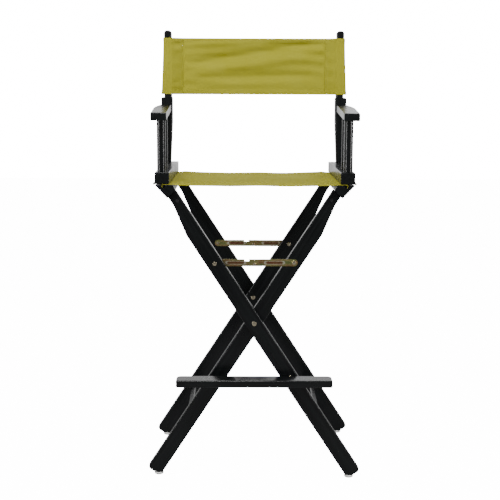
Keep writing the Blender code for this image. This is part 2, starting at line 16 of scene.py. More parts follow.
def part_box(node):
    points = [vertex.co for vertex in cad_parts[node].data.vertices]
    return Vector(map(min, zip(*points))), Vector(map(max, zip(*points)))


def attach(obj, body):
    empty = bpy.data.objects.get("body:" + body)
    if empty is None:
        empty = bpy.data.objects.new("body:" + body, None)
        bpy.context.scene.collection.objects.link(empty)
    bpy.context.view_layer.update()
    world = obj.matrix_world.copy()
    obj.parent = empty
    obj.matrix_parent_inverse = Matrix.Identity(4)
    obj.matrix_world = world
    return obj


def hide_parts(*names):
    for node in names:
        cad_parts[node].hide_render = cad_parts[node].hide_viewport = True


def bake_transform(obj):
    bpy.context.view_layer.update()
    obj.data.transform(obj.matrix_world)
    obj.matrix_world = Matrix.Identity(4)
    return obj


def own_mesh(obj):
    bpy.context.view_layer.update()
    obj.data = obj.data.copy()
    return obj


bl_info = {
    "name": "Director Chair",
    "version": (1, 0, 0),
    "blender": (4, 5, 0),
    "location": "View3D > Sidebar > Chair",
    "description": "Builds the looks of a tall folding director chair",
    "category": "Object",
}

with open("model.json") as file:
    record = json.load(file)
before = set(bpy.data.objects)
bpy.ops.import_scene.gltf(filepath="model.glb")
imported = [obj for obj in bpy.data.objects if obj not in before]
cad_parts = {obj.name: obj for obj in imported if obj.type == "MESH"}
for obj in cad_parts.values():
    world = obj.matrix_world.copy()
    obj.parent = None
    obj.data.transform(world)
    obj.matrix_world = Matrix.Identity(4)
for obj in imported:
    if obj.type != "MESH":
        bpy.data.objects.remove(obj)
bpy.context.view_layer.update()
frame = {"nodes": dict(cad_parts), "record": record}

SHIFT_Y = 0.0210                # from the chair's own middle to the middle of its box

# Cloth
CLOTH = 0.0010                  # thickness
HEM_LINE = 0.0020               # from a hem's inner edge to its sewing line
SEAT_Z = 0.7575                 # middle of the seat cloth between the rails
SEAT_HALF_Y = 0.2040
SEAT_SEED = 11
DOWEL_X, DOWEL_Z, HEM_RADIUS = 0.2260, 0.7537, 0.0038
HOOK_DEGREES = (-70, 88)        # how far the seat's end wraps its dowel
RAIL_INNER_X = 0.2035           # inner edge of a seat rail, where the cloth leaves it
PRESSED_X, PRESSED_RUN = 0.2000, 0.0060            # over the rail the hems are pressed thin
PRESSED_LAYERS = 1.15
STITCHED_X = 0.2050             # the seat's stitches show up to here
SEAM_X = 0.1960                 # seam between the back's panel and a sleeve
SEAM_ROWS = (0.0030, 0.0080)    # rows of stitches, outwards from the seam
POST_X, POST_WIDTH, POST_DEPTH = 0.2375, 0.0206, 0.0300
POST_GAP = 0.0003               # between a post and its sleeve
FLARE_X = 0.2220                # beyond here a sleeve widens towards its lower end
FLARE = 0.0058
BACK_Y = 0.1750 + SHIFT_Y
BACK_LOW, BACK_HIGH = 0.9750, 1.1285
BACK_BOW = 0.0045
PANEL_AHEAD = 0.0006            # from the middle of the posts forwards to the panel
BACK_SEED = 5
# Broad folds of the back: depth, height over the lower edge, tilt, place along X, half width, half length
BACK_FOLDS = (
    (0.0072, 0.113, 0.165, -0.04, 0.0130, 0.20), (-0.0060, 0.083, 0.14, 0.00, 0.0140, 0.20),
    (0.0046, 0.050, 0.02, 0.06, 0.0110, 0.15), (-0.0030, 0.030, 0.03, -0.06, 0.0085, 0.12),
    (-0.0034, 0.143, 0.03, -0.12, 0.0070, 0.10), (0.0032, 0.136, -0.03, 0.12, 0.0070, 0.07),
)

# Fittings
STAMP_X = {"outer": -0.0475, "inner": 0.0505}      # middle of the stamped slot in each stay link
STAMP_STRAIGHT, STAMP_RADIUS = 0.0240, 0.0046
STAMP_RIM, STAMP_DISH = 0.00016, 0.00004           # heights
STAMP_RIM_SHARE, STAMP_DISH_SHARE = 0.84, 0.70     # of the way out to the edge
STAMP_SUNK = 0.0001             # how far the stamp's edge lies inside the link
HINGE_YS = {"front": -0.165 + SHIFT_Y, "rear": 0.165 + SHIFT_Y}
SCREW_SPREAD = 0.0130           # from a hinge's middle to its screws
SCREW_PROFILE = (
    (0, 0.0005), (0.0011, 0.00048), (0.0020, 0.0003), (0.0024, 0.00005), (0.0024, -0.0003), (0, -0.0003),
)
UPPER_LEAF_X, UPPER_SCREW_Z = 0.24922, 0.7700
RAIL_CORNER = (0.2475, 0.7565)  # outer upper corner of a seat rail, in X and Z
LEAF_SLOPE = math.atan2(0.033, 0.031)
LOWER_SCREW_REACH, LOWER_LEAF_OUT = 0.0125, 0.0017

# Stage
FLOOR_HALF = 9.0
LIGHT_AIM = Vector((0, 0, 0.6))
LIGHTS = (                      # name, place, size, share of the light setting
    ("overhead", (-0.3, -1.20, 2.5), (0.8, 0.8), 0.78), ("left strip", (-2.2, -1.2, 1.3), (0.35, 1.7), 0.75),
    ("right strip", (2.2, -1.2, 1.3), (0.35, 1.7), 0.75), ("back", (0.6, 2.4, 2.6), (2.0, 2.0), 0.6),
)
CAMERA_PLACE = (-0.0293, -2.8812 + SHIFT_Y, 0.9978)
CAMERA_YAW, CAMERA_PITCH, CAMERA_ROLL = -0.0066, -0.1493, 0.004
SENSOR_WIDTH = 36.0

# Nodes of the frame by finish
WOOD_NODES = (
    "leg_outer_front", "leg_outer_rear", "leg_inner_front", "leg_inner_rear", "stretcher_outer",
    "stretcher_inner", "seat_rail_left", "seat_rail_right", "seat_dowel_left", "seat_dowel_right",
    "arm_rail_left", "arm_rail_right", "arm_board_left", "arm_board_right", "arm_spindle_front_left",
    "arm_spindle_front_right", "arm_spindle_rear_left", "arm_spindle_rear_right", "back_post_left",
    "back_post_right", "footrest_board", "footrest_peg",
)
ROUNDED_NODES = ("seat_rail", "arm_board")         # wood whose edges the frame leaves sharp
ZINC_NODES = (
    "stay_link_outer_front", "stay_link_inner_front", "stay_link_outer_rear", "stay_link_inner_rear",
    "hinge_upper_front_left", "hinge_upper_rear_left", "hinge_upper_front_right",
    "hinge_upper_rear_right", "hinge_lower_front_left", "hinge_lower_rear_left",
    "hinge_lower_front_right", "hinge_lower_rear_right",
)
STEEL_NODES = (
    "pivot_rivet_front", "pivot_rivet_rear", "stay_rivet_front", "stay_rivet_rear", "stay_screw_outer_front",
    "stay_screw_inner_front", "stay_screw_outer_rear", "stay_screw_inner_rear", "footrest_bolt",
    "footrest_nut", "hinge_pin_front_left", "hinge_pin_rear_left", "hinge_pin_front_right",
    "hinge_pin_rear_right",
)
PLASTIC_NODES = ("glide_outer_front", "glide_outer_rear", "glide_inner_front", "glide_inner_rear")
NYLON_NODES = (
    "barrel_nut_outer_front", "barrel_nut_outer_rear", "barrel_nut_inner_front", "barrel_nut_inner_rear",
    "pivot_washer_front", "pivot_washer_rear",
)


def body_of_node(node):
    """Name of the body that a frame node belongs to."""
    bodies = frame["record"]["behaviour"]["bodies"]
    return next(body for body, nodes in bodies.items() if node in nodes)


# Settings


class WoodSettings(bpy.types.PropertyGroup):
    colour: bpy.props.FloatVectorProperty(
        name="Colour", description="Colour of the lacquered wood", subtype="COLOR", size=3,
        min=0.0, max=1.0, default=(0.0030, 0.0036, 0.0038),
    )
    roughness: bpy.props.FloatProperty(
        name="Roughness", description="Roughness of the lacquer", subtype="FACTOR",
        min=0.0, max=1.0, default=0.16,
    )
    bevel: bpy.props.FloatProperty(
        name="Edge", description="Rounding of the sharpest wooden edges", unit="LENGTH",
        min=0.0001, max=0.002, default=0.0006,
    )


class CanvasSettings(bpy.types.PropertyGroup):
    colour: bpy.props.FloatVectorProperty(
        name="Colour", description="Colour of the canvas", subtype="COLOR", size=3,
        min=0.0, max=1.0, default=(0.282, 0.267, 0.021),
    )
    thread: bpy.props.FloatProperty(
        name="Thread", description="Distance between two threads of the weave", unit="LENGTH",
        min=0.0003, max=0.003, default=0.0008,
    )
    wrinkle: bpy.props.FloatProperty(
        name="Wrinkle", description="Height of the pull wrinkles", unit="LENGTH",
        min=0.0, max=0.004, default=0.0017,
    )
    seat_sag: bpy.props.FloatProperty(
        name="Seat Sag", description="How far the seat hangs in the middle", unit="LENGTH",
        min=0.0, max=0.02, default=0.0032,
    )
    hem: bpy.props.FloatProperty(
        name="Hem", description="Width of the sewn hems", unit="LENGTH",
        min=0.005, max=0.02, default=0.0120,
    )


class FittingSettings(bpy.types.PropertyGroup):
    zinc: bpy.props.FloatVectorProperty(
        name="Zinc", description="Colour of the yellow zinc plating", subtype="COLOR", size=3,
        min=0.0, max=1.0, default=(0.54, 0.46, 0.19),
    )
    steel: bpy.props.FloatVectorProperty(
        name="Steel", description="Colour of the rivets and screws", subtype="COLOR", size=3,
        min=0.0, max=1.0, default=(0.62, 0.55, 0.40),
    )
    plastic: bpy.props.FloatVectorProperty(
        name="Glides", description="Colour of the glides", subtype="COLOR", size=3,
        min=0.0, max=1.0, default=(0.78, 0.78, 0.76),
    )


class StageSettings(bpy.types.PropertyGroup):
    lens: bpy.props.FloatProperty(
        name="Lens", description="Focal length of the camera in millimetres",
        min=20.0, max=200.0, default=78.4,
    )
    floor: bpy.props.FloatVectorProperty(
        name="Floor", description="Colour of the floor", subtype="COLOR", size=3,
        min=0.0, max=1.0, default=(0.24, 0.24, 0.24),
    )
    backdrop: bpy.props.FloatProperty(
        name="Backdrop", description="Brightness of the white behind the chair",
        min=0.0, max=30.0, default=15.0,
    )
    around: bpy.props.FloatProperty(
        name="Surroundings", description="Brightness of what the chair reflects",
        min=0.0, max=5.0, default=1.35,
    )
    light: bpy.props.FloatProperty(
        name="Light", description="Strength of the studio lights in watts", unit="POWER",
        min=0.0, max=500.0, default=62.0,
    )


# Meshes


def linked(name, mesh, look):
    """An object for a mesh, in the scene, with one material."""
    made = bpy.data.objects.new(name, mesh)
    bpy.context.scene.collection.objects.link(made)
    made.data.materials.append(look)
    return made


def mesh_from(name, points, quads, look, attributes=None):
    """A smooth mesh of quads, with vector attributes on its points."""
    mesh = bpy.data.meshes.new(name)
    mesh.from_pydata(np.asarray(points, float).reshape(-1, 3).tolist(), [], np.asarray(quads).tolist())
    for label, values in (attributes or {}).items():
        layer = mesh.attributes.new(label, "FLOAT_VECTOR", "POINT")
        layer.data.foreach_set("vector", np.asarray(values, np.float32).ravel())
    mesh.validate()
    mesh.shade_smooth()
    return linked(name, mesh, look)


def grid_quads(rows, columns, start=0, wrap=False):
    """Quads of a grid of points stored row by row. With wrap, the last column joins the first."""
    i = np.arange(rows - 1)[:, None] * columns
    j = np.arange(columns if wrap else columns - 1)[None, :]
    after = (j + 1) % columns
    quads = np.stack([i + j, i + after, i + columns + after, i + columns + j], axis=-1)
    return quads.reshape(-1, 4) + start


def unit(vectors):
    """The vectors at length 1."""
    return vectors / np.maximum(np.linalg.norm(vectors, axis=-1, keepdims=True), 1e-12)


def cloth(name, middle, thickness, look):
    """A closed cloth round a grid of middle points, and its normals.

    Each side is the middle surface moved half the thickness along its normal, which is the cross product of
    the grid's two directions. The border closes with a strip. The thread attribute holds the arc lengths.
    """
    rows, columns = middle.shape[:2]
    along = np.gradient(middle, axis=0)
    across = np.gradient(middle, axis=1)
    normal = unit(np.cross(along, across))
    half = thickness[..., None] / 2
    step_u = np.linalg.norm(np.diff(middle, axis=0), axis=-1)
    step_v = np.linalg.norm(np.diff(middle, axis=1), axis=-1)
    u = np.concatenate([np.zeros((1, columns)), np.cumsum(step_u, axis=0)])
    v = np.concatenate([np.zeros((rows, 1)), np.cumsum(step_v, axis=1)], axis=1)
    threads = np.stack([u, v, np.zeros_like(u)], axis=-1).reshape(-1, 3)
    count = rows * columns
    front = grid_quads(rows, columns)
    index = np.arange(count).reshape(rows, columns)
    border = np.concatenate([index[0, :-1], index[:-1, -1], index[-1, :0:-1], index[:0:-1, 0]])
    after = np.roll(border, -1)
    rim = np.stack([border, border + count, after + count, after], axis=-1)
    quads = np.concatenate([front, front[:, ::-1] + count, rim[:, ::-1]])
    sides = [(middle + normal * half).reshape(-1, 3), (middle - normal * half).reshape(-1, 3)]
    made = mesh_from(
        name, np.concatenate(sides), quads, look, {"thread": np.concatenate([threads, threads])},
    )
    faces_outward(made)
    return made, normal


def faces_outward(target, merge=0.0):
    """Turns a closed mesh's faces outwards, after merging points closer than merge."""
    shape = bmesh.new()
    shape.from_mesh(target.data)
    if merge:
        bmesh.ops.remove_doubles(shape, verts=shape.verts, dist=merge)
    bmesh.ops.recalc_face_normals(shape, faces=shape.faces)
    shape.to_mesh(target.data)
    shape.free()


def both_faces(points, normals, thickness):
    """Two lines for stitch_rows, one on each face of the cloth along a line of its middle points."""
    return [(points + side * normals * thickness[:, None] / 2, side * normals) for side in (1, -1)]


def stitch_rows(name, lines, look, length=0.0030, pitch=0.0041, radius=0.00034):
    """Rows of short threads, each a flattened spindle that dips into the cloth at both ends.

    A line is (points, normals). A stitch's ring at share q of its length has radius r*sin(pi*q)**0.5 and
    lies 0.6*r*(2*sin(pi*q) - 1) above the cloth.
    """
    shares = np.array([0.04, 0.25, 0.5, 0.75, 0.96])
    sides = 6
    angles = np.arange(sides) * math.tau / sides
    bulge = np.sin(np.pi * shares)
    points, quads, start = [], [], 0
    for line, normals in lines:
        line, normals = np.asarray(line), unit(np.asarray(normals))
        run = np.concatenate([[0], np.cumsum(np.linalg.norm(np.diff(line, axis=0), axis=1))])
        for at in np.arange(pitch / 2, run[-1] - pitch / 2, pitch):
            where = at + (shares - 0.5) * length
            centre = np.stack([np.interp(where, run, line[:, k]) for k in range(3)], axis=1)
            up = unit(np.array([np.interp(at, run, normals[:, k]) for k in range(3)]))
            ahead = unit(centre[-1] - centre[0])
            side = np.cross(ahead, up)
            centre = centre + up * (0.6 * radius * (2 * bulge - 1))[:, None]
            reach = radius * np.sqrt(bulge)
            ring = np.cos(angles)[:, None] * side + np.sin(angles)[:, None] * up
            points.append((centre[:, None] + reach[:, None, None] * ring).reshape(-1, 3))
            quads.append(grid_quads(len(shares), sides, start, wrap=True))
            start += len(shares) * sides
    return mesh_from(name, np.concatenate(points), np.concatenate(quads), look)


def spun(name, profile, steps, look):
    """A profile of (radius, height) spun round +Z, closed at both ends on the axis."""
    profile = np.asarray(profile, float)
    angles = np.arange(steps) * math.tau / steps
    rings = np.stack([
        profile[:, :1] * np.cos(angles), profile[:, :1] * np.sin(angles),
        np.repeat(profile[:, 1:], steps, axis=1),
    ], axis=-1)
    made = mesh_from(name, rings, grid_quads(len(profile), steps, wrap=True), look)
    faces_outward(made, merge=1e-7)
    return made


def finished_copy(node, look, bevel=0.0):
    """The frame's node as one smooth mesh in place of the node, its edges eased where bevel is given.

    The grain attribute holds distances along the piece's longest direction and the two across it, moved by an
    offset of the piece's own so that no two pieces show the same grain.
    """
    shape = bmesh.new()
    shape.from_mesh(frame["nodes"][node].data)
    bmesh.ops.remove_doubles(shape, verts=shape.verts, dist=2e-6)
    bmesh.ops.dissolve_limit(
        shape, angle_limit=math.radians(1.5), verts=shape.verts, edges=shape.edges,
        delimit={"NORMAL"},
    )
    bmesh.ops.recalc_face_normals(shape, faces=shape.faces)
    mesh = bpy.data.meshes.new(node + "_finished")
    shape.to_mesh(mesh)
    shape.free()
    points = np.array([v.co for v in mesh.vertices])
    _, _, directions = np.linalg.svd(points - points.mean(axis=0), full_matrices=False)
    offset = np.array([0.37 * len(node), 0.11 * len(mesh.vertices), 0.05 * len(node)])
    layer = mesh.attributes.new("grain", "FLOAT_VECTOR", "POINT")
    layer.data.foreach_set("vector", ((points - points.mean(axis=0)) @ directions.T + offset).ravel())
    made = linked(node + "_finished", mesh, look)
    mesh.shade_smooth()
    sharp = math.radians(50)
    if bevel:
        edge = made.modifiers.new("Edge", "BEVEL")
        edge.width = bevel
        edge.segments = 2
        edge.limit_method = "ANGLE"
        edge.angle_limit = sharp
    else:
        mesh.set_sharp_from_angle(angle=sharp)
    weighted = made.modifiers.new("Flat faces", "WEIGHTED_NORMAL")
    weighted.weight = 80
    weighted.keep_sharp = True
    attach(made, body_of_node(node))
    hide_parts(node)
    return made


# Materials


class Nodes:
    """Adds and links shader nodes in one tree."""

    def __init__(self, tree):
        self.tree = tree

    def add(self, kind, **settings):
        node = self.tree.nodes.new(kind)
        for key, value in settings.items():
            setattr(node, key, value)
        return node

    def link(self, source, target):
        self.tree.links.new(source, target)

    def put(self, socket, value):
        if isinstance(value, bpy.types.NodeSocket):
            self.link(value, socket)
        else:
            socket.default_value = value

    def math(self, operation, one, two=0.0, three=None):
        """A Math node's result. MULTIPLY_ADD gives one * two + three."""
        node = self.add("ShaderNodeMath", operation=operation)
        self.put(node.inputs[0], one)
        self.put(node.inputs[1], two)
        if three is not None:
            self.put(node.inputs[2], three)
        return node.outputs[0]

    def scaled(self, vector, scale):
        node = self.add("ShaderNodeVectorMath", operation="MULTIPLY")
        self.put(node.inputs[0], vector)
        node.inputs[1].default_value = scale
        return node.outputs[0]

    def noise(self, vector, scale, detail=3.0, roughness=0.5):
        node = self.add("ShaderNodeTexNoise")
        self.put(node.inputs["Vector"], vector)
        node.inputs["Scale"].default_value = scale
        node.inputs["Detail"].default_value = detail
        node.inputs["Roughness"].default_value = roughness
        return node.outputs["Fac"]

    def span(self, value, low, high, to_low, to_high):
        """The value carried from low..high to to_low..to_high, and held there."""
        node = self.add("ShaderNodeMapRange")
        for socket, number in zip(node.inputs, (value, low, high, to_low, to_high)):
            self.put(socket, number)
        return node.outputs[0]

    def mixed(self, share, one, two, blend="MIX"):
        node = self.add("ShaderNodeMix", data_type="RGBA", blend_type=blend)
        self.put(node.inputs["Factor"], share)
        self.put(node.inputs[6], one)
        self.put(node.inputs[7], two)
        return node.outputs[2]

    def bump(self, height, distance, strength=1.0):
        node = self.add("ShaderNodeBump")
        node.inputs["Strength"].default_value = strength
        node.inputs["Distance"].default_value = distance
        self.put(node.inputs["Height"], height)
        return node.outputs[0]

    def attribute(self, name):
        return self.add("ShaderNodeAttribute", attribute_name=name).outputs["Vector"]

    def here(self):
        return self.add("ShaderNodeTexCoord").outputs["Object"]


def group(name, inputs, outputs):
    """An empty shader group with its input and output nodes."""
    tree = bpy.data.node_groups.new(name, "ShaderNodeTree")
    for label, kind in inputs:
        tree.interface.new_socket(label, in_out="INPUT", socket_type=kind)
    for label, kind in outputs:
        tree.interface.new_socket(label, in_out="OUTPUT", socket_type=kind)
    nodes = Nodes(tree)
    return tree, nodes, nodes.add("NodeGroupInput"), nodes.add("NodeGroupOutput")


def handling_group():
    """Faint smears and dust that vary the gloss: a value from 0 for clean to 1 for dull."""
    if "Handling" in bpy.data.node_groups:
        return bpy.data.node_groups["Handling"]
    tree, nodes, given, result = group(
        "Handling", [("Vector", "NodeSocketVector")], [("Dullness", "NodeSocketFloat")]
    )
    smears = nodes.noise(given.outputs[0], 9.0, detail=4.0, roughness=0.6)
    dust = nodes.noise(given.outputs[0], 160.0, detail=2.0)
    broad = nodes.span(smears, 0.38, 0.72, 0.0, 1.0)
    fine = nodes.span(dust, 0.45, 0.8, 0.0, 1.0)
    nodes.link(nodes.math("MULTIPLY_ADD", fine, 0.3, broad), result.inputs[0])
    return tree


def used(nodes, tree, vector):
    """The first output of a group placed in a material and fed a vector."""
    node = nodes.add("ShaderNodeGroup", node_tree=tree)
    nodes.put(node.inputs[0], vector)
    return node.outputs[0]


def new_material(name):
    """A material with its Principled shader and a helper for its nodes."""
    made = bpy.data.materials.new(name)
    made.use_nodes = True
    return made, Nodes(made.node_tree), made.node_tree.nodes["Principled BSDF"]


def wood_material(settings):
    """Black lacquer over straight-grained hardwood. Grain and pores just show through as relief."""
    made, nodes, shader = new_material("black_lacquer")
    grain = nodes.attribute("grain")
    long_grain = nodes.noise(nodes.scaled(grain, (7.0, 160.0, 160.0)), 1.0, detail=4.0, roughness=0.6)
    pores = nodes.noise(nodes.scaled(grain, (28.0, 900.0, 900.0)), 1.0, detail=2.0)
    flow = nodes.noise(grain, 45.0, detail=2.0)
    dull = used(nodes, handling_group(), nodes.here())
    height = nodes.math(
        "ADD", nodes.math("MULTIPLY", long_grain, 0.55), nodes.math("MULTIPLY", pores, 0.25),
    )
    height = nodes.math("MULTIPLY_ADD", flow, 0.9, height)
    base = (*settings.colour, 1.0)
    lighter = tuple(channel * 1.9 + 0.001 for channel in settings.colour) + (1.0,)
    shown = nodes.mixed(nodes.span(long_grain, 0.4, 0.75, 0.0, 1.0), base, lighter)
    nodes.link(shown, shader.inputs["Base Color"])
    rough = nodes.math("MULTIPLY_ADD", dull, 0.09, settings.roughness)
    nodes.link(nodes.math("MULTIPLY_ADD", pores, 0.08, rough), shader.inputs["Roughness"])
    nodes.link(nodes.bump(height, 0.00012, 0.6), shader.inputs["Normal"])
    shader.inputs["Specular IOR Level"].default_value = 0.34
    return made


def weave_group(thread):
    """Plain weave. Height rises where a thread lies on top, slubs are thick threads, fade is patchy dye."""
    tree, nodes, given, result = group(
        "Canvas weave", [("Threads", "NodeSocketVector")],
        [("Height", "NodeSocketFloat"), ("Slubs", "NodeSocketFloat"), ("Fade", "NodeSocketFloat")],
    )
    vector = given.outputs[0]
    split = nodes.add("ShaderNodeSeparateXYZ")
    nodes.link(vector, split.inputs[0])
    wave_u = nodes.math("SINE", nodes.math("MULTIPLY", split.outputs[0], math.pi / thread))
    wave_v = nodes.math("SINE", nodes.math("MULTIPLY", split.outputs[1], math.pi / thread))
    crossing = nodes.math("MULTIPLY", wave_u, wave_v)
    rounds = nodes.math("MULTIPLY", nodes.math("ABSOLUTE", wave_u), nodes.math("ABSOLUTE", wave_v))
    slub_u = nodes.noise(nodes.scaled(vector, (22.0, 1400.0, 1.0)), 1.0, detail=2.0)
    slub_v = nodes.noise(nodes.scaled(vector, (1400.0, 22.0, 1.0)), 1.0, detail=2.0)
    slubs = nodes.math("MULTIPLY", nodes.math("ADD", slub_u, slub_v), 0.5)
    height = nodes.math("MULTIPLY_ADD", crossing, 0.3, rounds)
    nodes.link(nodes.math("MULTIPLY_ADD", slubs, 0.7, height), result.inputs["Height"])
    nodes.link(nodes.span(slubs, 0.38, 0.62, 0.0, 1.0), result.inputs["Slubs"])
    patches = nodes.noise(vector, 11.0, detail=4.0, roughness=0.6)
    nodes.link(nodes.span(patches, 0.35, 0.7, 0.0, 1.0), result.inputs["Fade"])
    return tree


def canvas_material(settings):
    """Matt olive canvas that reads its threads from the cloth's own arc lengths."""
    made, nodes, shader = new_material("olive_canvas")
    weave = nodes.add("ShaderNodeGroup", node_tree=weave_group(settings.thread))
    nodes.link(nodes.attribute("thread"), weave.inputs[0])
    colour = settings.colour
    dark = (colour[0] * 0.78, colour[1] * 0.76, colour[2] * 0.70, 1.0)
    light = (colour[0] * 1.12, colour[1] * 1.13, colour[2] * 1.5, 1.0)
    faded = nodes.mixed(weave.outputs["Fade"], (*colour, 1.0), light)
    threads = nodes.mixed(nodes.math("MULTIPLY", weave.outputs["Slubs"], 0.45), dark, faded)
    shown = nodes.mixed(0.62, threads, faded)
    nodes.link(shown, shader.inputs["Base Color"])
    nodes.link(nodes.span(weave.outputs["Height"], 0.0, 1.6, 0.92, 0.66), shader.inputs["Roughness"])
    nodes.link(nodes.bump(weave.outputs["Height"], 0.00022, 0.55), shader.inputs["Normal"])
    shader.inputs["Specular IOR Level"].default_value = 0.04
    return made


def thread_material(settings):
    """Twisted sewing thread, a little lighter than the cloth."""
    made, nodes, shader = new_material("olive_thread")
    colour = settings.colour
    twist = nodes.noise(nodes.scaled(nodes.here(), (2600.0, 900.0, 900.0)), 1.0, detail=2.0)
    dark = tuple(channel * 0.8 for channel in colour) + (1.0,)
    light = (colour[0] * 1.35, colour[1] * 1.35, colour[2] * 2.2, 1.0)
    nodes.link(nodes.mixed(twist, dark, light), shader.inputs["Base Color"])
    nodes.link(nodes.bump(twist, 0.0002, 0.6), shader.inputs["Normal"])
    shader.inputs["Roughness"].default_value = 0.6
    return made


def zinc_material(settings):
    """Yellow passivated zinc: gold that drifts to red and green in patches.

    The slot attribute's X is 1 in the brownish red dish of a stamped slot and its Y is 1 on the rim, which is
    painted pale as a highlight.
    """
    made, nodes, shader = new_material("zinc_plating")
    here = nodes.here()
    drift = nodes.noise(nodes.scaled(here, (1.0, 1.0, 2.2)), 38.0, detail=3.0, roughness=0.6)
    ramp = nodes.add("ShaderNodeValToRGB")
    first, *others = (
        (0.30, (0.26, 0.33, 0.12)), (0.42, (0.42, 0.42, 0.16)), (0.50, tuple(settings.zinc)),
        (0.56, (0.44, 0.22, 0.12)), (0.62, (0.40, 0.40, 0.16)), (0.72, (0.20, 0.33, 0.15)),
    )
    elements = ramp.color_ramp.elements
    elements.remove(elements[1])
    elements[0].position = first[0]
    elements[0].color = (*first[1], 1.0)
    for place, colour in others:
        elements.new(place).color = (*colour, 1.0)
    nodes.link(drift, ramp.inputs[0])
    split = nodes.add("ShaderNodeSeparateXYZ")
    nodes.link(nodes.attribute("slot"), split.inputs[0])
    red = nodes.mixed(
        nodes.span(drift, 0.3, 0.7, 0.0, 1.0), (0.30, 0.105, 0.065, 1.0), (0.36, 0.20, 0.10, 1.0),
    )
    # Painted highlight: the raised rim of a stamped slot is mixed towards pale cream.
    rim_highlighted = nodes.mixed(split.outputs["Y"], ramp.outputs[0], (0.95, 0.90, 0.70, 1.0))
    nodes.link(nodes.mixed(split.outputs["X"], rim_highlighted, red), shader.inputs["Base Color"])
    grainy = nodes.noise(here, 900.0, detail=2.0)
    dull = used(nodes, handling_group(), here)
    rough = nodes.math("MULTIPLY_ADD", grainy, 0.12, 0.20)
    nodes.link(nodes.math("MULTIPLY_ADD", dull, 0.14, rough), shader.inputs["Roughness"])
    nodes.link(nodes.bump(grainy, 0.00008, 0.5), shader.inputs["Normal"])
    shader.inputs["Metallic"].default_value = 1.0
    return made


def steel_material(settings):
    """Plated steel, warm and slightly grainy, duller where it is handled."""
    made, nodes, shader = new_material("plated_steel")
    here = nodes.here()
    grainy = nodes.noise(here, 700.0, detail=3.0)
    dull = used(nodes, handling_group(), here)
    darker = tuple(channel * 0.72 for channel in settings.steel) + (1.0,)
    nodes.link(nodes.mixed(dull, (*settings.steel, 1.0), darker), shader.inputs["Base Color"])
    nodes.link(nodes.math("MULTIPLY_ADD", dull, 0.12, 0.20), shader.inputs["Roughness"])
    nodes.link(nodes.bump(grainy, 0.00006, 0.5), shader.inputs["Normal"])
    shader.inputs["Metallic"].default_value = 1.0
    return made


def plastic_material(name, colour, roughness):
    """Moulded plastic with a fine texture and dull smears."""
    made, nodes, shader = new_material(name)
    here = nodes.here()
    fine = nodes.noise(here, 1100.0, detail=2.0)
    dull = used(nodes, handling_group(), here)
    worn = tuple(channel * 0.86 for channel in colour) + (1.0,)
    nodes.link(nodes.mixed(dull, (*colour, 1.0), worn), shader.inputs["Base Color"])
    nodes.link(nodes.math("MULTIPLY_ADD", dull, 0.2, roughness), shader.inputs["Roughness"])
    nodes.link(nodes.bump(fine, 0.00006, 0.4), shader.inputs["Normal"])
    return made


def material(name, make, *settings):
    """The material of that name, made the first time it is asked for."""
    return bpy.data.materials.get(name) or make(*settings)


# Canvases


def hem_thickness(distance, hem):
    """Cloth thickness at a distance from a hemmed edge.

    The hem is 1.1 layers thicker and fades out over about 1.5 mm. The sewing line 2 mm inside it pulls the
    cloth down by 45 percent. The last 0.9 mm rounds off.
    """
    layers = 1.0 + 1.1 / (1.0 + np.exp((distance - hem) / 0.0004))
    line = 1.0 - 0.45 * np.exp(-(((distance - hem + HEM_LINE) / 0.0008) ** 2))
    edge = np.sqrt(np.clip(distance / 0.0009, 0.06, 1.0))
    return CLOTH * layers * line * edge


def hem_lines(across, hem):
    """Indices of the two sewing lines among the places across a cloth."""
    return [int(np.argmin(np.abs(across - place))) for place in (hem - HEM_LINE, across[-1] - hem + HEM_LINE)]


def hemmed_steps(length, hem, middle_steps):
    """Places across a cloth, close together in its two hems."""
    near = np.concatenate([[0.0, 0.0003, 0.0009], np.linspace(0.002, hem + 0.003, 17)])
    far = length - near[::-1]
    return np.concatenate([near, np.linspace(near[-1], far[0], middle_steps)[1:-1], far])


def ripples(draw, place, distance, count, spacing, reach):
    """Pull wrinkles: sin(tau*(place + lean*distance)/wave + phase)*exp(-distance/fade), count of them summed.

    Wave, fade, lean and phase are drawn afresh for each, and the sum is divided by the root of the count.
    """
    total = 0.0
    for _ in range(count):
        wave = spacing * draw.uniform(0.7, 1.6)
        fade = reach * draw.uniform(0.5, 1.8)
        lean = draw.uniform(-0.12, 0.12)
        phase = draw.uniform(0.0, math.tau)
        total = total + np.sin(math.tau * (place + lean * distance) / wave + phase) * np.exp(-distance / fade)
    return total / math.sqrt(count)


def seat_section():
    """X and Z of the seat cloth's middle from dowel to dowel: an arc round each, and level between them."""
    turns = np.radians(np.linspace(*HOOK_DEGREES, 12))
    flat = np.linspace(DOWEL_X - 0.0015, 0.0, 62)
    half_x = np.concatenate([DOWEL_X + HEM_RADIUS * np.cos(turns), flat])
    half_z = np.concatenate([DOWEL_Z + HEM_RADIUS * np.sin(turns), np.full(len(flat), SEAT_Z)])
    return np.concatenate([half_x, -half_x[-2::-1]]), np.concatenate([half_z, half_z[-2::-1]])


